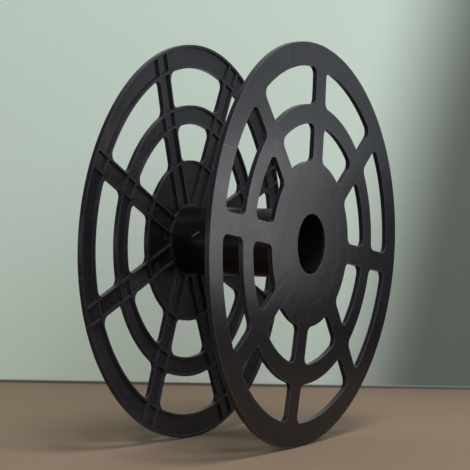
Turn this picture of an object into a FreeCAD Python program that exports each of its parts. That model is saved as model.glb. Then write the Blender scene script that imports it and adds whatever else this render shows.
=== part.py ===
import FreeCAD, Part
import math
import os
import Sketcher

# String light storage reel: two identical moulded flanges on a core tube.
# Row frame, millimetres: +Y along the reel's axis, +Z up, origin at the
# middle of the core on the axis. The reel stands on its two rims.

os.makedirs("parts", exist_ok=True)
doc = FreeCAD.newDocument("storage_reel")
sheet = doc.addObject("Spreadsheet::Sheet", "sizes")
sheet.Label = "sizes"

# Every driving size, once. Lengths in millimetres, angles in degrees.
SIZES = [
    ("flange_diameter", 360.0),
    ("reel_width", 130.0),
    ("flange_depth", 4.4),
    ("web_thickness", 2.2),
    ("rib_thickness", 2.0),
    ("rim_lip_thickness", 2.4),
    ("bore_diameter", 54.0),
    ("core_wall", 3.8),
    ("core_clearance", 0.15),
    ("collar_thickness", 2.4),
    ("rim_inner_diameter", 317.4),
    ("mid_ring_outer_diameter", 249.0),
    ("mid_ring_inner_diameter", 214.6),
    ("hub_disc_diameter", 147.6),
    ("spoke_width", 18.2),
    ("spoke_count", 8.0),
    ("window_corner_radius", 7.0),
    ("front_flange_turn", 37.4),
    ("back_flange_turn", 20.9),
]
for row, (name, value) in enumerate(SIZES, start=1):
    sheet.set("A%d" % row, name)
    sheet.set("B%d" % row, repr(value))
    sheet.setAlias("B%d" % row, name)
doc.recompute()


def size(name):
    return float(getattr(sheet, name))


def circle(sketch, name, radius, expression):
    """Add a circle about the sketch origin, its diameter bound to the sheet."""
    centre = FreeCAD.Vector(0, 0, 0)
    normal = FreeCAD.Vector(0, 0, 1)
    index = sketch.addGeometry(Part.Circle(centre, normal, radius), False)
    sketch.addConstraint(Sketcher.Constraint("Coincident", index, 3, -1, 1))
    number = sketch.addConstraint(Sketcher.Constraint("Diameter", index, 2 * radius))
    sketch.renameConstraint(number, name)
    sketch.setExpression("Constraints." + name, expression)
    return index


def new_sketch(body, name):
    """Add a sketch on the body's own XY plane."""
    sketch = body.newObject("Sketcher::SketchObject", name)
    plane = [item for item in body.Origin.OriginFeatures if item.Role == "XY_Plane"][0]
    sketch.AttachmentSupport = [(plane, "")]
    sketch.MapMode = "FlatFace"
    return sketch


def pad(body, sketch, name, length_expression):
    feature = body.newObject("PartDesign::Pad", name)
    feature.Profile = sketch
    feature.Length = 1.0
    feature.setExpression("Length", length_expression)
    sketch.Visibility = False
    body.Tip = feature
    return feature


def around(body, feature, sketch, name):
    """Repeat a feature around the flange, once for every spoke."""
    pattern = body.newObject("PartDesign::PolarPattern", name)
    pattern.Originals = [feature]
    pattern.Axis = (sketch, ["N_Axis"])
    pattern.Angle = 360.0
    pattern.Occurrences = int(size("spoke_count"))
    pattern.setExpression("Occurrences", "sizes.spoke_count")
    body.Tip = pattern
    return pattern


def window_outline(sketch, inner, outer, grow):
    """Draw one window between two spokes, centred on the sketch's X axis.

    inner and outer are the names of the ring diameters that bound it. grow is
    0 for the opening itself and 1 for the outside of the lip around it, which
    is one rib thickness larger all round.
    """
    lip = grow * size("rib_thickness")
    low = size(inner) / 2 - lip
    high = size(outer) / 2 + lip
    offset = size("spoke_width") / 2 - lip
    corner = size("window_corner_radius") + lip
    half = math.pi / size("spoke_count")
    along = FreeCAD.Vector(math.cos(half), math.sin(half), 0)
    across = FreeCAD.Vector(-math.sin(half), math.cos(half), 0)
    zaxis = FreeCAD.Vector(0, 0, 1)
    zero = FreeCAD.Vector(0, 0, 0)

    def corner_centre(distance):
        reach = math.sqrt(distance ** 2 - (offset + corner) ** 2)
        return along * reach - across * (offset + corner)

    def mirrored(point):
        return FreeCAD.Vector(point.x, -point.y, 0)

    def arc(centre, radius, start, end):
        """Anticlockwise arc from start to end about centre."""
        first = math.atan2(start.y - centre.y, start.x - centre.x)
        last = math.atan2(end.y - centre.y, end.x - centre.x)
        if last <= first:
            last += 2 * math.pi
        return Part.ArcOfCircle(Part.Circle(centre, zaxis, radius), first, last)

    high_centre = corner_centre(high - corner)
    low_centre = corner_centre(low + corner)
    high_arc = high_centre * (high / (high - corner))
    low_arc = low_centre * (low / (low + corner))
    high_side = high_centre + across * corner
    low_side = low_centre + across * corner

    top = sketch.addGeometry(arc(zero, high, mirrored(high_arc), high_arc), False)
    corner_a = sketch.addGeometry(arc(high_centre, corner, high_arc, high_side), False)
    side_a = sketch.addGeometry(Part.LineSegment(high_side, low_side), False)
    corner_b = sketch.addGeometry(arc(low_centre, corner, low_side, low_arc), False)
    foot = sketch.addGeometry(arc(zero, low, mirrored(low_arc), low_arc), False)
    corner_c = sketch.addGeometry(
        arc(mirrored(low_centre), corner, mirrored(low_arc), mirrored(low_side)), False)
    side_b = sketch.addGeometry(
        Part.LineSegment(mirrored(low_side), mirrored(high_side)), False)
    corner_d = sketch.addGeometry(
        arc(mirrored(high_centre), corner, mirrored(high_side), mirrored(high_arc)), False)

    joins = [
        (top, 2, corner_a, 1),
        (corner_a, 2, side_a, 1),
        (side_a, 2, corner_b, 1),
        (corner_b, 2, foot, 2),
        (foot, 1, corner_c, 1),
        (corner_c, 2, side_b, 1),
        (side_b, 2, corner_d, 1),
        (corner_d, 2, top, 1),
    ]
    for first, first_end, second, second_end in joins:
        sketch.addConstraint(
            Sketcher.Constraint("Tangent", first, first_end, second, second_end))
    sketch.addConstraint(Sketcher.Constraint("Coincident", top, 3, -1, 1))
    sketch.addConstraint(Sketcher.Constraint("Coincident", foot, 3, -1, 1))

    def bind(kind, arguments, name, expression):
        number = sketch.addConstraint(Sketcher.Constraint(kind, *arguments))
        sketch.renameConstraint(number, name)
        sketch.setExpression("Constraints." + name, expression)

    thick = "%d * sizes.rib_thickness" % grow
    bind("Radius", (top, high), "high_radius", "sizes.%s / 2 + %s" % (outer, thick))
    bind("Radius", (foot, low), "low_radius", "sizes.%s / 2 - %s" % (inner, thick))
    corners = (corner_a, corner_b, corner_c, corner_d)
    for number, index in enumerate(corners, start=1):
        bind("Radius", (index, corner), "corner_%d" % number,
             "sizes.window_corner_radius + %s" % thick)
    for number, index in enumerate((side_a, side_b), start=1):
        bind("Distance", (-1, 1, index, offset), "side_%d" % number,
             "sizes.spoke_width / 2 - %s" % thick)
    bind("Angle", (side_a, half - math.pi), "lean_a", "180 / sizes.spoke_count - 180")
    bind("Angle", (side_b, -half), "lean_b", "-180 / sizes.spoke_count")


def spoke_rib_outline(sketch):
    """Draw the two ribs of one spoke, along the direction between two windows."""
    half = math.pi / size("spoke_count")
    start = size("bore_diameter") / 2 + size("core_wall")
    end = size("flange_diameter") / 2 - size("rim_lip_thickness") / 2
    thick = size("rib_thickness")
    edge = size("spoke_width") / 2
    along = FreeCAD.Vector(math.cos(half), math.sin(half), 0)
    across = FreeCAD.Vector(-math.sin(half), math.cos(half), 0)
    for side, name in ((1, "left"), (-1, "right")):
        far = across * (side * edge)
        near = across * (side * (edge - thick))
        corners = [along * start + near, along * end + near, along * end + far, along * start + far]
        lines = []
        for index in range(4):
            segment = Part.LineSegment(corners[index], corners[(index + 1) % 4])
            lines.append(sketch.addGeometry(segment, False))
        for index in range(4):
            sketch.addConstraint(Sketcher.Constraint(
                "Coincident", lines[index], 2, lines[(index + 1) % 4], 1))
        sketch.addConstraint(Sketcher.Constraint("Parallel", lines[0], lines[2]))
        sketch.addConstraint(Sketcher.Constraint("Perpendicular", lines[0], lines[1]))
        sketch.addConstraint(Sketcher.Constraint("Perpendicular", lines[0], lines[3]))

        def bind(kind, arguments, label, expression):
            number = sketch.addConstraint(Sketcher.Constraint(kind, *arguments))
            sketch.renameConstraint(number, name + "_" + label)
            sketch.setExpression("Constraints." + name + "_" + label, expression)

        bind("Angle", (lines[0], half), "lean", "180 / sizes.spoke_count")
        bind("Distance", (-1, 1, lines[0], edge - thick), "inside",
             "sizes.spoke_width / 2 - sizes.rib_thickness")
        bind("Distance", (-1, 1, lines[2], edge), "outside", "sizes.spoke_width / 2")
        bind("Distance", (-1, 1, lines[3], start), "start",
             "sizes.bore_diameter / 2 + sizes.core_wall")
        bind("Distance", (-1, 1, lines[1], end), "end",
             "sizes.flange_diameter / 2 - sizes.rim_lip_thickness / 2")


def flange(name):
    """One moulded flange, outer face at its own z = 0, ribs towards its +z."""
    body = doc.addObject("PartDesign::Body", name)
    body.Label = name

    # Flat web over the whole disc.
    disc = new_sketch(body, name + "_disc")
    circle(disc, "outside", size("flange_diameter") / 2, "sizes.flange_diameter")
    pad(body, disc, name + "_web", "sizes.web_thickness")
    doc.recompute()

    # Concentric ribs on the inner side: rim lip, both edges of the open bands,
    # the hub disc's edge and the collar around the core tube.
    rings = new_sketch(body, name + "_rings")
    rib = "2 * sizes.rib_thickness"
    edges = [
        ("lip_out", size("flange_diameter") / 2, "sizes.flange_diameter"),
        ("lip_in", size("flange_diameter") / 2 - size("rim_lip_thickness"),
         "sizes.flange_diameter - 2 * sizes.rim_lip_thickness"),
        ("rim_out", size("rim_inner_diameter") / 2 + size("rib_thickness"),
         "sizes.rim_inner_diameter + " + rib),
        ("rim_in", size("rim_inner_diameter") / 2, "sizes.rim_inner_diameter"),
        ("mid_out", size("mid_ring_outer_diameter") / 2, "sizes.mid_ring_outer_diameter"),
        ("mid_out_in", size("mid_ring_outer_diameter") / 2 - size("rib_thickness"),
         "sizes.mid_ring_outer_diameter - " + rib),
        ("mid_in_out", size("mid_ring_inner_diameter") / 2 + size("rib_thickness"),
         "sizes.mid_ring_inner_diameter + " + rib),
        ("mid_in", size("mid_ring_inner_diameter") / 2, "sizes.mid_ring_inner_diameter"),
        ("hub_out", size("hub_disc_diameter") / 2, "sizes.hub_disc_diameter"),
        ("hub_in", size("hub_disc_diameter") / 2 - size("rib_thickness"),
         "sizes.hub_disc_diameter - " + rib),
        ("collar_out",
         size("bore_diameter") / 2 + size("core_wall") + size("core_clearance")
         + size("collar_thickness"),
         "sizes.bore_diameter + 2 * sizes.core_wall + 2 * sizes.core_clearance"
         " + 2 * sizes.collar_thickness"),
        ("collar_in",
         size("bore_diameter") / 2 + size("core_wall") + size("core_clearance"),
         "sizes.bore_diameter + 2 * sizes.core_wall + 2 * sizes.core_clearance"),
    ]
    for label, radius, expression in edges:
        circle(rings, label, radius, expression)
    pad(body, rings, name + "_ring_ribs", "sizes.flange_depth")
    doc.recompute()

    # Two straight ribs along every spoke, running on to the lip and the core.
    bars = new_sketch(body, name + "_spoke_ribs")
    spoke_rib_outline(bars)
    bar_pad = pad(body, bars, name + "_spoke_rib", "sizes.flange_depth")
    doc.recompute()
    around(body, bar_pad, bars, name + "_spoke_rib_set")
    doc.recompute()

    # A lip follows each window's outline, then the window is cut through it.
    bands = [
        ("outer", "mid_ring_outer_diameter", "rim_inner_diameter"),
        ("inner", "hub_disc_diameter", "mid_ring_inner_diameter"),
    ]
    for label, inner, outer in bands:
        lip = new_sketch(body, name + "_" + label + "_lip")
        window_outline(lip, inner, outer, 1)
        lip_pad = pad(body, lip, name + "_" + label + "_window_lip", "sizes.flange_depth")
        doc.recompute()
        around(body, lip_pad, lip, name + "_" + label + "_window_lips")
        doc.recompute()
    for label, inner, outer in bands:
        hole = new_sketch(body, name + "_" + label + "_hole")
        window_outline(hole, inner, outer, 0)
        cut = body.newObject("PartDesign::Pocket", name + "_" + label + "_window")
        cut.Profile = hole
        cut.Type = 1
        cut.Midplane = True
        hole.Visibility = False
        body.Tip = cut
        doc.recompute()
        around(body, cut, hole, name + "_" + label + "_windows")
        doc.recompute()

    # The socket that seats the core tube, then the arbor bore.
    for label, expression, radius, floor in (
            ("socket", "sizes.bore_diameter + 2 * sizes.core_wall + 2 * sizes.core_clearance",
             size("bore_diameter") / 2 + size("core_wall") + size("core_clearance"), True),
            ("bore", "sizes.bore_diameter", size("bore_diameter") / 2, False)):
        ring = new_sketch(body, name + "_" + label + "_ring")
        circle(ring, "across", radius, expression)
        if floor:
            ring.setExpression("AttachmentOffset.Base.z", "sizes.web_thickness")
        cut = body.newObject("PartDesign::Pocket", name + "_" + label)
        cut.Profile = ring
        cut.Type = 1
        cut.Reversed = floor
        cut.Midplane = not floor
        ring.Visibility = False
        body.Tip = cut
        doc.recompute()
    return body


def check(body):
    for item in [body] + list(body.Group):
        if "Invalid" in item.State or "Error" in item.State:
            raise RuntimeError("%s: %s" % (item.Name, item.State))
    shape = body.Shape
    if shape.isNull() or not shape.isValid() or len(shape.Solids) != 1:
        raise RuntimeError("%s: shape not one valid solid" % body.Name)
    print(body.Label, "volume %.0f mm3" % shape.Volume, "faces", len(shape.Faces))


# Front flange: outer face towards -Y, ribs towards the middle of the reel.
flange_front = flange("flange_front")
flange_front.setExpression("Placement.Base.y", "-sizes.reel_width / 2")

# Back flange: the same moulding turned round to face it.
flange_back = flange("flange_back")
flange_back.setExpression("Placement.Base.y", "sizes.reel_width / 2")

HALF_STEP = 180.0 / size("spoke_count")
X_AXIS = FreeCAD.Vector(1, 0, 0)
Z_AXIS = FreeCAD.Vector(0, 0, 1)


def facing(tilt, turn):
    return FreeCAD.Rotation(X_AXIS, tilt).multiply(FreeCAD.Rotation(Z_AXIS, turn))


flange_front.Placement = FreeCAD.Placement(
    FreeCAD.Vector(0, -size("reel_width") / 2, 0),
    facing(-90, -size("front_flange_turn") - HALF_STEP))
flange_back.Placement = FreeCAD.Placement(
    FreeCAD.Vector(0, size("reel_width") / 2, 0),
    facing(90, size("back_flange_turn") - HALF_STEP))

# Core tube, its ends seated on the webs inside the collars.
core_tube = doc.addObject("PartDesign::Body", "core_tube")
core_tube.Label = "core_tube"
wall = new_sketch(core_tube, "core_wall_ring")
circle(wall, "outside", size("bore_diameter") / 2 + size("core_wall"),
       "sizes.bore_diameter + 2 * sizes.core_wall")
circle(wall, "inside", size("bore_diameter") / 2, "sizes.bore_diameter")
tube_pad = pad(core_tube, wall, "core_tube_pad",
               "sizes.reel_width - 2 * sizes.web_thickness")
tube_pad.Midplane = True
core_tube.Placement = FreeCAD.Placement(
    FreeCAD.Vector(0, 0, 0), FreeCAD.Rotation(X_AXIS, -90))

doc.recompute()
for piece in (flange_front, flange_back, core_tube):
    check(piece)
    piece.Shape.exportStep("parts/%s.step" % piece.Label)
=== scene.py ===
import math

import bpy
from mathutils import Matrix, Vector

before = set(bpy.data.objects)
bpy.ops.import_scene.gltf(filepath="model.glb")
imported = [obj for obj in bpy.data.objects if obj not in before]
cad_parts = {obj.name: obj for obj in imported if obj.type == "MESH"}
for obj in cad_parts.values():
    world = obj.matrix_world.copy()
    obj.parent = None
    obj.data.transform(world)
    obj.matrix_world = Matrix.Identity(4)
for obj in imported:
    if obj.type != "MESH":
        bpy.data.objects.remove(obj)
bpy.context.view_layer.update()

# ---------------------------------------------------------------- sizes, metres
FLANGE_RADIUS = 0.180
RIB = 0.0020
RIM_INNER = 0.1587
MID_OUTER = 0.1245
MID_INNER = 0.1073
HUB_DISC = 0.0738
SPOKES = 8
SPOKE_WIDTH = 0.0182
HUB_STEP = 0.0535
FRONT_TURN = math.radians(37.4)
BACK_TURN = math.radians(20.9)

# Heights of the fine relief on the flanges, metres.
RELIEF = {
    "grain": 0.000012,
    "ripple": 0.00022,
    "rings": 0.000018,
    "flow": 0.00005,
    "sink": 0.000035,
    "step line": 0.00004,
    "hub step": 0.00002,
    "pin": 0.00012,
    "gate": 0.00015,
}

# ---------------------------------------------------------------- marks
# Round marks are ((x, z), radius); scuffs are (start, end, width). All in metres.
FRONT_PINS = [
    ((0.06, 0.08), 0.0035),
    ((-0.118, -0.058), 0.0035),
    ((0.04, -0.125), 0.0035),
]
FRONT_GATES = [
    ((-0.0058, -0.0396), 0.001),
    ((0.0148, 0.1154), 0.0016),
]
FRONT_SCUFFS = [
    ((-0.1725, -0.03), (-0.1577, -0.0346), 0.0005),
    ((-0.1293, -0.0908), (-0.1155, -0.0968), 0.0005),
    ((-0.0902, -0.0709), (-0.0833, -0.0645), 0.0004),
    ((-0.0444, 0.1745), (-0.0409, 0.1556), 0.001),
    ((-0.1057, 0.136), (-0.0948, 0.1248), 0.0006),
    ((-0.097, 0.1374), (-0.0859, 0.1262), 0.0006),
    ((-0.1599, 0.0839), (-0.1416, 0.0812), 0.0012),
]
BACK_PINS = [
    ((-0.1514, -0.0561), 0.0045),
    ((0.159, 0.0578), 0.0035),
    ((-0.0398, 0.0044), 0.0035),
    ((-0.0536, -0.0232), 0.004),
    ((-0.0316, -0.0334), 0.001),
]
BACK_GATES = [
    ((0.02, 0.036), 0.0012),
    ((-0.03, 0.112), 0.0014),
]
BACK_SCUFFS = [
    ((0.1, 0.09), (0.13, 0.07), 0.0005),
    ((-0.03, -0.15), (-0.06, -0.16), 0.0004),
]


class Graph:
    """Short names for the shader nodes that a procedural plastic needs."""

    def __init__(self, name):
        self.material = bpy.data.materials.new(name)
        self.material.use_nodes = True
        self.tree = self.material.node_tree
        self.tree.nodes.clear()

    def node(self, kind, inputs=None, **settings):
        made = self.tree.nodes.new(kind)
        for key, value in settings.items():
            setattr(made, key, value)
        for key, value in (inputs or {}).items():
            self.feed(made.inputs[key], value)
        return made

    def feed(self, socket, value):
        if isinstance(value, bpy.types.NodeSocket):
            self.tree.links.new(value, socket)
        else:
            socket.default_value = value

    def math(self, operation, *values):
        made = self.node("ShaderNodeMath", operation=operation)
        for index, value in enumerate(values):
            self.feed(made.inputs[index], value)
        return made.outputs[0]

    def add(self, first, *rest):
        for value in rest:
            first = self.math("ADD", first, value)
        return first

    def times(self, first, *rest):
        for value in rest:
            first = self.math("MULTIPLY", first, value)
        return first

    def point(self, x, y, z):
        return self.node("ShaderNodeCombineXYZ", {"X": x, "Y": y, "Z": z}).outputs[0]

    def noise(self, vector, scale, detail=2.0, rough=0.5):
        made = self.node("ShaderNodeTexNoise", {
            "Vector": vector, "Scale": scale, "Detail": detail, "Roughness": rough})
        return made.outputs["Fac"]

    def band(self, value, low, high, to_low=0.0, to_high=1.0):
        """Smooth step of value from low to high."""
        made = self.node("ShaderNodeMapRange", interpolation_type="SMOOTHSTEP", inputs={
            "Value": value, "From Min": low, "From Max": high,
            "To Min": to_low, "To Max": to_high})
        return made.outputs[0]

    def pulse(self, value, centre, width):
        """Bell of height 1 where value is near centre."""
        away = self.math("DIVIDE", self.math("SUBTRACT", value, centre), width)
        square = self.math("MULTIPLY", away, away)
        return self.math("EXPONENT", self.math("MULTIPLY", square, -1.0))

    def mix(self, factor, first, second):
        made = self.node("ShaderNodeMix", data_type="RGBA")
        self.feed(made.inputs[0], factor)
        self.feed(made.inputs[6], first)
        self.feed(made.inputs[7], second)
        return made.outputs[2]

    def spot(self, x, z, centre, radius, soft):
        """1 inside a round spot on the flange's face, 0 outside."""
        across = self.math("SUBTRACT", x, centre[0])
        up = self.math("SUBTRACT", z, centre[1])
        away = self.math("SQRT", self.add(self.times(across, across), self.times(up, up)))
        return self.band(away, radius - soft, radius + soft, 1.0, 0.0)

    def edges(self, radius):
        """1 on convex edges narrower than radius, 0 on flat faces."""
        rounded = self.node("ShaderNodeBevel", {"Radius": radius}, samples=4).outputs[0]
        true = self.node("ShaderNodeNewGeometry").outputs["True Normal"]
        along = self.node("ShaderNodeVectorMath", operation="DOT_PRODUCT")
        self.feed(along.inputs[0], rounded)
        self.feed(along.inputs[1], true)
        return self.band(along.outputs["Value"], 0.995, 0.80, 0.0, 1.0)

    def finish(self, color, roughness, height, bevel, level):
        rounded = self.node("ShaderNodeBevel", {"Radius": bevel}, samples=4).outputs[0]
        bump = self.node("ShaderNodeBump", {
            "Height": height, "Distance": 1.0, "Strength": 1.0, "Normal": rounded})
        shader = self.node("ShaderNodeBsdfPrincipled", {
            "Base Color": color, "Roughness": roughness, "IOR": 1.5,
            "Specular IOR Level": level, "Normal": bump.outputs[0]})
        output = self.node("ShaderNodeOutputMaterial")
        self.tree.links.new(shader.outputs[0], output.inputs[0])
        return self.material


def rgb(red, green, blue):
    return (red, green, blue, 1.0)


def flange_plastic(name, side, turn, ejectors, gates, scuffs):
    """Satin black moulding. side is -1 for the front flange and +1 for the back."""
    g = Graph(name)
    place = g.node("ShaderNodeTexCoord").outputs["Object"]
    split = g.node("ShaderNodeSeparateXYZ", {"Vector": place})
    x, y, z = split.outputs[0], split.outputs[1], split.outputs[2]
    radius = g.math("SQRT", g.add(g.times(x, x), g.times(z, z)))
    angle = g.math("ARCTAN2", z, x)

    # The smooth outer face, and the ribbed inner side.
    normal = g.node("ShaderNodeNewGeometry").outputs["True Normal"]
    facing = g.node("ShaderNodeSeparateXYZ", {"Vector": normal}).outputs[1]
    outer = g.band(g.times(facing, side), 0.5, 0.9)
    inner = g.math("SUBTRACT", 1.0, outer)

    # Distance to the nearest spoke's centre line.
    step = 2 * math.pi / SPOKES
    turned = g.math("SUBTRACT", angle, turn - step / 2 - 2 * math.pi)
    local = g.math("SUBTRACT", g.math("MODULO", turned, step), step / 2)
    from_spoke = g.math("ABSOLUTE", g.times(radius, g.math("SINE", local)))

    # Height, in metres: fine grain, turning marks, sink marks over the ribs.
    grain = g.noise(place, 900.0, 3.0, 0.6)
    ripple = g.noise(place, 38.0, 2.0, 0.5)
    rings = g.noise(g.point(g.times(radius, 900.0), g.times(angle, 1.5), 0.0), 1.0, 2.0)
    flow = g.noise(g.point(g.times(angle, 16.0), g.times(radius, 14.0), 0.0), 1.0, 4.0, 0.6)
    height = g.add(g.times(grain, RELIEF["grain"]), g.times(ripple, RELIEF["ripple"]),
                   g.times(rings, outer, RELIEF["rings"]),
                   g.times(flow, g.band(radius, 0.070, 0.110), RELIEF["flow"]))
    sinks = g.pulse(from_spoke, SPOKE_WIDTH / 2 - RIB / 2, 0.0013)
    for centre in (RIM_INNER + RIB / 2, MID_OUTER - RIB / 2, MID_INNER + RIB / 2,
                   HUB_DISC - RIB / 2):
        sinks = g.math("MAXIMUM", sinks, g.times(g.pulse(radius, centre, 0.0012), 0.6))
    beyond_core = g.band(radius, 0.050, 0.058)
    sinks = g.times(sinks, outer, beyond_core)
    height = g.math("SUBTRACT", height, g.times(sinks, RELIEF["sink"]))
    step_line = g.pulse(radius, HUB_STEP, 0.0005)
    height = g.math("SUBTRACT", height, g.times(step_line, RELIEF["step line"]))
    raised = g.band(radius, HUB_STEP - 0.0005, HUB_STEP + 0.0005)
    height = g.add(height, g.times(raised, RELIEF["hub step"]))

    # Round marks: ejector pins on the inner side, gates on the outer face.
    pins = 0.0
    for centre, size in ejectors:
        pins = g.math("MAXIMUM", pins, g.spot(x, z, centre, size, 0.0003))
    pins = g.times(pins, inner)
    height = g.math("SUBTRACT", height, g.times(pins, RELIEF["pin"]))
    nubs = 0.0
    for centre, size in gates:
        nubs = g.math("MAXIMUM", nubs, g.spot(x, z, centre, size, 0.0004))
    nubs = g.times(nubs, outer)
    height = g.add(height, g.times(nubs, RELIEF["gate"]))

    # Thin scuffs, each a line between two points of the outer face.
    scuff = 0.0
    for (x0, z0), (x1, z1), width in scuffs:
        length = math.hypot(x1 - x0, z1 - z0)
        ax, az = (x1 - x0) / length, (z1 - z0) / length
        dx = g.math("SUBTRACT", x, (x0 + x1) / 2)
        dz = g.math("SUBTRACT", z, (z0 + z1) / 2)
        along = g.math("ABSOLUTE", g.add(g.times(dx, ax), g.times(dz, az)))
        aside = g.math("ABSOLUTE", g.add(g.times(dx, -az), g.times(dz, ax)))
        line = g.times(g.band(aside, 0.0, width, 1.0, 0.0),
                       g.band(along, length * 0.30, length * 0.55, 1.0, 0.0))
        scuff = g.math("MAXIMUM", scuff, line)
    scuff = g.times(scuff, outer)

    # Handling marks and dust, with painted light: a highlight painted along the edges, and the inner
    # side painted lighter away from the hub.
    smudge = g.noise(place, 16.0, 5.0, 0.62)
    streak = g.noise(g.point(g.times(angle, 9.0), g.times(radius, 60.0), g.times(y, 30.0)),
                     1.0, 3.0, 0.6)
    fine = g.noise(g.point(g.times(x, 1.0), g.times(y, 1.0), g.times(z, 0.12)), 620.0, 2.0)
    speck = g.node("ShaderNodeTexVoronoi", {"Vector": place, "Scale": 150.0}).outputs["Distance"]
    dust = g.times(g.band(speck, 0.05, 0.09, 1.0, 0.0),
                   g.band(g.noise(place, 70.0, 1.0), 0.56, 0.62))
    lint = g.times(g.band(g.noise(place, 55.0, 5.0, 0.75), 0.60, 0.72), 0.35)
    # Edge wear with a painted highlight: convex edges are painted lighter, most of all on the outer
    # face.
    edge_wear_highlight = g.times(g.edges(0.0012), g.add(g.times(outer, 0.65), 0.35))

    dark = g.mix(smudge, rgb(0.0060, 0.0055, 0.0085), rgb(0.0115, 0.0105, 0.0150))
    # Painted light and shade: the inner side is painted lighter away from the hub, so it stays
    # darker near the hub, where the tube and front flange shade it.
    painted_light_away_from_hub = g.times(g.band(radius, 0.065, 0.115), inner, 0.8)
    dark = g.mix(painted_light_away_from_hub, dark, rgb(0.022, 0.021, 0.027))
    dark = g.mix(g.times(lint, inner), dark, rgb(0.055, 0.053, 0.052))
    # Painted highlight, with some edge wear, along the edges.
    dark = g.mix(g.times(edge_wear_highlight, 0.80), dark, rgb(0.26, 0.26, 0.28))
    dark = g.mix(g.times(pins, 0.30), dark, rgb(0.070, 0.062, 0.075))
    dark = g.mix(g.times(nubs, 0.55), dark, rgb(0.090, 0.090, 0.095))
    dark = g.mix(g.times(scuff, 0.45), dark, rgb(0.12, 0.12, 0.12))
    dark = g.mix(g.times(dust, g.add(g.times(inner, 0.45), 0.35)), dark, rgb(0.22, 0.21, 0.21))

    rough = g.add(g.times(outer, 0.01), 0.23, g.times(smudge, 0.10),
                  g.times(g.math("SUBTRACT", streak, 0.5), 0.08),
                  g.times(g.math("SUBTRACT", fine, 0.5), 0.06),
                  g.times(edge_wear_highlight, -0.06), g.times(pins, -0.10))
    return g.finish(dark, rough, height, 0.0006, level=0.27)


def tube_plastic():
    """Smooth glossy black tube with handling scratches round and along it."""
    g = Graph("core tube plastic")
    place = g.node("ShaderNodeTexCoord").outputs["Object"]
    split = g.node("ShaderNodeSeparateXYZ", {"Vector": place})
    x, y, z = split.outputs[0], split.outputs[1], split.outputs[2]
    angle = g.math("ARCTAN2", z, x)
    drawn = g.noise(g.point(g.times(angle, 90.0), g.times(y, 20.0), 0.0), 1.0, 3.0, 0.6)
    wound = g.noise(g.point(g.times(angle, 1.5), g.times(y, 1500.0), 0.0), 1.0, 2.0)
    smudge = g.noise(place, 28.0, 5.0, 0.65)
    scratch = g.band(wound, 0.66, 0.74)
    speck = g.node("ShaderNodeTexVoronoi", {"Vector": place, "Scale": 170.0}).outputs["Distance"]
    dust = g.times(g.band(speck, 0.05, 0.10, 1.0, 0.0),
                   g.band(g.noise(place, 60.0, 1.0), 0.56, 0.64))
    # One pale nick on the side, near the back flange.
    nick_at = (-0.0301, 0.0372, 0.0067)
    dy = g.math("SUBTRACT", y, nick_at[1])
    dz = g.math("SUBTRACT", z, nick_at[2])
    slant = g.add(g.times(dy, 0.87), g.times(dz, -0.50))
    aside = g.add(g.times(dy, 0.50), g.times(dz, 0.87))
    nick = g.times(g.band(g.math("ABSOLUTE", aside), 0.0002, 0.0008, 1.0, 0.0),
                   g.band(g.math("ABSOLUTE", slant), 0.0030, 0.0050, 1.0, 0.0),
                   g.band(x, -0.02, -0.01, 1.0, 0.0))
    dark = g.mix(smudge, rgb(0.0035, 0.0035, 0.0040), rgb(0.0080, 0.0078, 0.0078))
    dark = g.mix(g.times(scratch, 0.12), dark, rgb(0.10, 0.10, 0.10))
    dark = g.mix(g.times(dust, 0.40), dark, rgb(0.20, 0.19, 0.18))
    dark = g.mix(g.times(nick, 0.75), dark, rgb(0.22, 0.22, 0.22))
    rough = g.add(0.24, g.times(smudge, 0.16), g.times(scratch, 0.10))
    height = g.add(g.times(drawn, 0.000012), g.times(wound, 0.000006),
                   g.times(g.noise(place, 24.0, 2.0), 0.00012), g.times(nick, -0.00008))
    return g.finish(dark, rough, height, 0.0004, level=0.28)


def dress(node, material):
    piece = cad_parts[node]
    piece.data.materials.clear()
    piece.data.materials.append(material)


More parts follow.
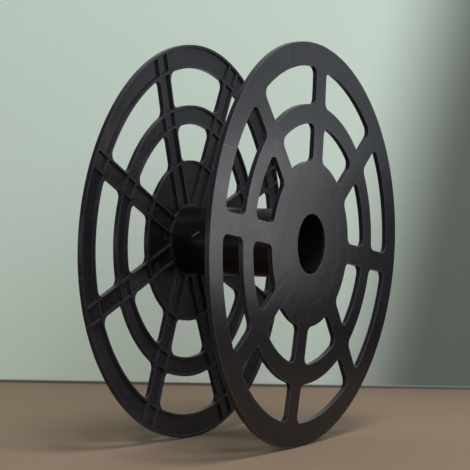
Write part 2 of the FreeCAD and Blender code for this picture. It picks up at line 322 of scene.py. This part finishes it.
def bend(node, inward, tilt_x, tilt_z, saddle, twist, dish):
    """Flex a flange a few millimetres out of true, as a thin moulding sets.

    The offset along the axis grows with distance from the hub, and only ever
    goes inward, towards +Y or -Y. The arguments after inward are its size at
    the rim, in metres, for each simple way a disc can bend.
    """
    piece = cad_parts[node]
    tree = bpy.data.node_groups.new(node + " bend", "GeometryNodeTree")
    tree.interface.new_socket("Geometry", in_out="INPUT", socket_type="NodeSocketGeometry")
    tree.interface.new_socket("Geometry", in_out="OUTPUT", socket_type="NodeSocketGeometry")
    nodes, links = tree.nodes, tree.links

    def maths(operation, first, second):
        made = nodes.new("ShaderNodeMath")
        made.operation = operation
        for index, value in enumerate((first, second)):
            if isinstance(value, bpy.types.NodeSocket):
                links.new(value, made.inputs[index])
            else:
                made.inputs[index].default_value = value
        return made.outputs[0]

    start = nodes.new("NodeGroupInput")
    end = nodes.new("NodeGroupOutput")
    split = nodes.new("ShaderNodeSeparateXYZ")
    links.new(nodes.new("GeometryNodeInputPosition").outputs[0], split.inputs[0])
    x = maths("DIVIDE", split.outputs[0], FLANGE_RADIUS)
    z = maths("DIVIDE", split.outputs[2], FLANGE_RADIUS)
    xx, zz, xz = maths("MULTIPLY", x, x), maths("MULTIPLY", z, z), maths("MULTIPLY", x, z)
    offset = 0.0
    for term, amount in ((x, tilt_x), (z, tilt_z), (xx, saddle + dish), (zz, dish - saddle),
                         (xz, 2 * twist)):
        offset = maths("ADD", maths("MULTIPLY", term, amount), offset)
    offset = maths("MAXIMUM" if inward > 0 else "MINIMUM", offset, 0.0)
    shift = nodes.new("ShaderNodeCombineXYZ")
    links.new(offset, shift.inputs[1])
    finer = nodes.new("GeometryNodeSubdivideMesh")
    finer.inputs["Level"].default_value = 1
    move = nodes.new("GeometryNodeSetPosition")
    links.new(start.outputs[0], finer.inputs["Mesh"])
    links.new(finer.outputs["Mesh"], move.inputs["Geometry"])
    links.new(shift.outputs[0], move.inputs["Offset"])
    links.new(move.outputs["Geometry"], end.inputs[0])
    piece.modifiers.new("bend", "NODES").node_group = tree


bend("flange_front", inward=1, tilt_x=-0.00008, tilt_z=-0.00218,
     saddle=-0.00285, twist=-0.00022, dish=0.00316)
bend("flange_back", inward=-1, tilt_x=0.00059, tilt_z=0.00076,
     saddle=0.00233, twist=0.00202, dish=-0.00377)

front = flange_plastic("front flange plastic", -1, FRONT_TURN, FRONT_PINS, FRONT_GATES, FRONT_SCUFFS)
back = flange_plastic("back flange plastic", 1, BACK_TURN, BACK_PINS, BACK_GATES, BACK_SCUFFS)
dress("flange_front", front)
dress("flange_back", back)
dress("core_tube", tube_plastic())

# ---------------------------------------------------------------- floor and backdrop
FLOOR_Z = -FLANGE_RADIUS


def stage_paint(name, floor_color, wall_color, turn):
    """Matt paint for the floor and wall, seen from its front only.

    Painted shade: reflections find it painted dark far out on the right, as behind a studio screen;
    a soft shadow is also painted on the wall.
    """
    g = Graph(name)
    place = g.node("ShaderNodeTexCoord").outputs["Object"]
    split = g.node("ShaderNodeSeparateXYZ", {"Vector": place})
    height = split.outputs[2]
    to_right = g.add(g.times(split.outputs[0], math.sin(turn)),
                     g.times(split.outputs[1], -math.cos(turn)))
    cloud = g.noise(place, 2.5, 3.0)
    wall = g.band(height, FLOOR_Z + 0.001, FLOOR_Z + 0.006)
    tone = g.mix(wall, floor_color, wall_color)
    # Painted shade: a dark band painted along the corner where the floor turns up into the wall.
    painted_corner_shade = g.times(g.band(height, FLOOR_Z + 0.0002, FLOOR_Z + 0.0008),
                   g.band(height, FLOOR_Z + 0.003, FLOOR_Z + 0.004, 1.0, 0.0))
    tone = g.mix(painted_corner_shade, tone, rgb(0.12, 0.11, 0.10))
    tone = g.mix(g.times(cloud, 0.04), tone, rgb(0.9, 0.9, 0.9))
    # Painted shadow: soft shade painted on the wall, right of the reel.
    across = g.add(to_right, g.times(height, -0.2))
    shade = g.times(g.band(across, 0.09, 0.24), g.band(across, 0.45, 0.90, 1.0, 0.0), wall, 0.85)
    tone = g.mix(shade, tone, rgb(0.040, 0.047, 0.038))
    ray = g.node("ShaderNodeLightPath")
    # Painted shade: dark for reflections only, far out on the right.
    painted_reflection_shade = g.times(g.band(to_right, 0.36, 0.62), ray.outputs["Is Glossy Ray"])
    tone = g.mix(painted_reflection_shade, tone, rgb(0.035, 0.035, 0.038))
    g.finish(tone, 0.85, g.times(cloud, 0.0001), 0.0005, level=0.15)
    behind = g.times(g.node("ShaderNodeNewGeometry").outputs["Backfacing"],
                     ray.outputs["Is Camera Ray"])
    output = g.tree.nodes["Material Output"]
    shown = g.node("ShaderNodeMixShader")
    g.feed(shown.inputs[0], behind)
    g.feed(shown.inputs[1], output.inputs[0].links[0].from_socket)
    g.feed(shown.inputs[2], g.node("ShaderNodeBsdfTransparent").outputs[0])
    g.feed(output.inputs[0], shown.outputs[0])
    return g.material


def sweep(name, away, corner, depth, tall, wide, turn):
    """Floor that curves up into a wall, square to the direction turn."""
    profile = [(-depth, 0.0), (away - corner, 0.0)]
    for index in range(1, 13):
        part = math.radians(90.0 * index / 12)
        profile.append((away - corner + corner * math.sin(part), corner - corner * math.cos(part)))
    profile.append((away, tall))
    ahead = Vector((math.cos(turn), math.sin(turn), 0.0))
    aside = Vector((-ahead.y, ahead.x, 0.0))
    points = []
    for reach, rise in profile:
        for end in (-wide, wide):
            points.append(ahead * reach + aside * end + Vector((0.0, 0.0, FLOOR_Z + rise)))
    faces = [(2 * i, 2 * i + 2, 2 * i + 3, 2 * i + 1) for i in range(len(profile) - 1)]
    mesh = bpy.data.meshes.new(name)
    mesh.from_pydata(points, [], faces)
    mesh.update()
    for polygon in mesh.polygons:
        polygon.use_smooth = True
    made = bpy.data.objects.new(name, mesh)
    bpy.context.scene.collection.objects.link(made)
    made.data.materials.append(
        stage_paint("stage paint", rgb(0.30, 0.21, 0.145), rgb(0.80, 0.96, 0.87), turn))
    return made


VIEW_TURN = math.radians(29.2)
sweep("stage sweep", away=0.46, corner=0.003, depth=2.4, tall=2.4, wide=2.6, turn=VIEW_TURN)

# ---------------------------------------------------------------- light
world = bpy.data.worlds.new("studio")
bpy.context.scene.world = world
world.use_nodes = True
world.node_tree.nodes["Background"].inputs["Color"].default_value = rgb(0.92, 0.97, 1.0)
world.node_tree.nodes["Background"].inputs["Strength"].default_value = 0.07


def soft_light(name, place, power, width, tall, color, aim=(0.0, 0.0, 0.0)):
    data = bpy.data.lights.new(name, "AREA")
    data.shape = "RECTANGLE"
    data.size = width
    data.size_y = tall
    data.energy = power
    data.color = color
    lamp = bpy.data.objects.new(name, data)
    lamp.location = place
    lamp.rotation_euler = (Vector(aim) - Vector(place)).to_track_quat("-Z", "Y").to_euler()
    lamp.visible_camera = False
    bpy.context.scene.collection.objects.link(lamp)
    return lamp


# Three lamps that the smooth outer face mirrors, then a key, a low fill and a top light.
soft_light("side strip", (0.44, -0.44, 0.02), 0.39, 0.22, 0.20, (1.0, 0.97, 1.0),
           aim=(-0.12, -0.065, 0.02))
soft_light("side panel", (0.54, -0.46, 0.25), 0.50, 0.46, 0.38, (0.84, 0.93, 1.0),
           aim=(0.0, -0.065, 0.08))
soft_light("far strip", (0.86, -0.40, 0.07), 0.06, 0.14, 0.26, (0.88, 0.94, 1.0),
           aim=(0.15, -0.065, 0.0))
soft_light("key softbox", (-1.5, -1.35, 1.0), 16.0, 0.9, 0.9, (0.96, 0.98, 1.0))
soft_light("low left panel", (-1.2, 0.66, 0.0), 0.5, 0.40, 0.35, (0.96, 0.99, 1.0))
soft_light("overhead", (-0.5, -0.7, 2.0), 24.0, 0.7, 0.7, (1.0, 0.99, 0.97))

# ---------------------------------------------------------------- camera
CAMERA_AT = Vector((-1.43398, -0.79204, 0.04467))
CAMERA_FACING = Vector((0.870241, 0.491875, 0.027206))
CAMERA_ROLL = math.radians(0.9175)
camera_data = bpy.data.cameras.new("camera")
camera_data.sensor_width = 36.0
camera_data.lens = 138.340
camera_data.shift_x = 0.00756
camera_data.shift_y = -0.19505
camera_data.clip_start = 0.05
camera = bpy.data.objects.new("camera", camera_data)
level_right = CAMERA_FACING.cross(Vector((0.0, 0.0, 1.0))).normalized()
level_up = level_right.cross(CAMERA_FACING).normalized()
right = level_right * math.cos(CAMERA_ROLL) + level_up * math.sin(CAMERA_ROLL)
up = level_up * math.cos(CAMERA_ROLL) - level_right * math.sin(CAMERA_ROLL)
turned = Matrix((right, up, -CAMERA_FACING)).transposed().to_4x4()
camera.matrix_world = Matrix.Translation(CAMERA_AT) @ turned
bpy.context.scene.collection.objects.link(camera)
bpy.context.scene.camera = camera

bpy.context.scene.view_settings.view_transform = "Standard"
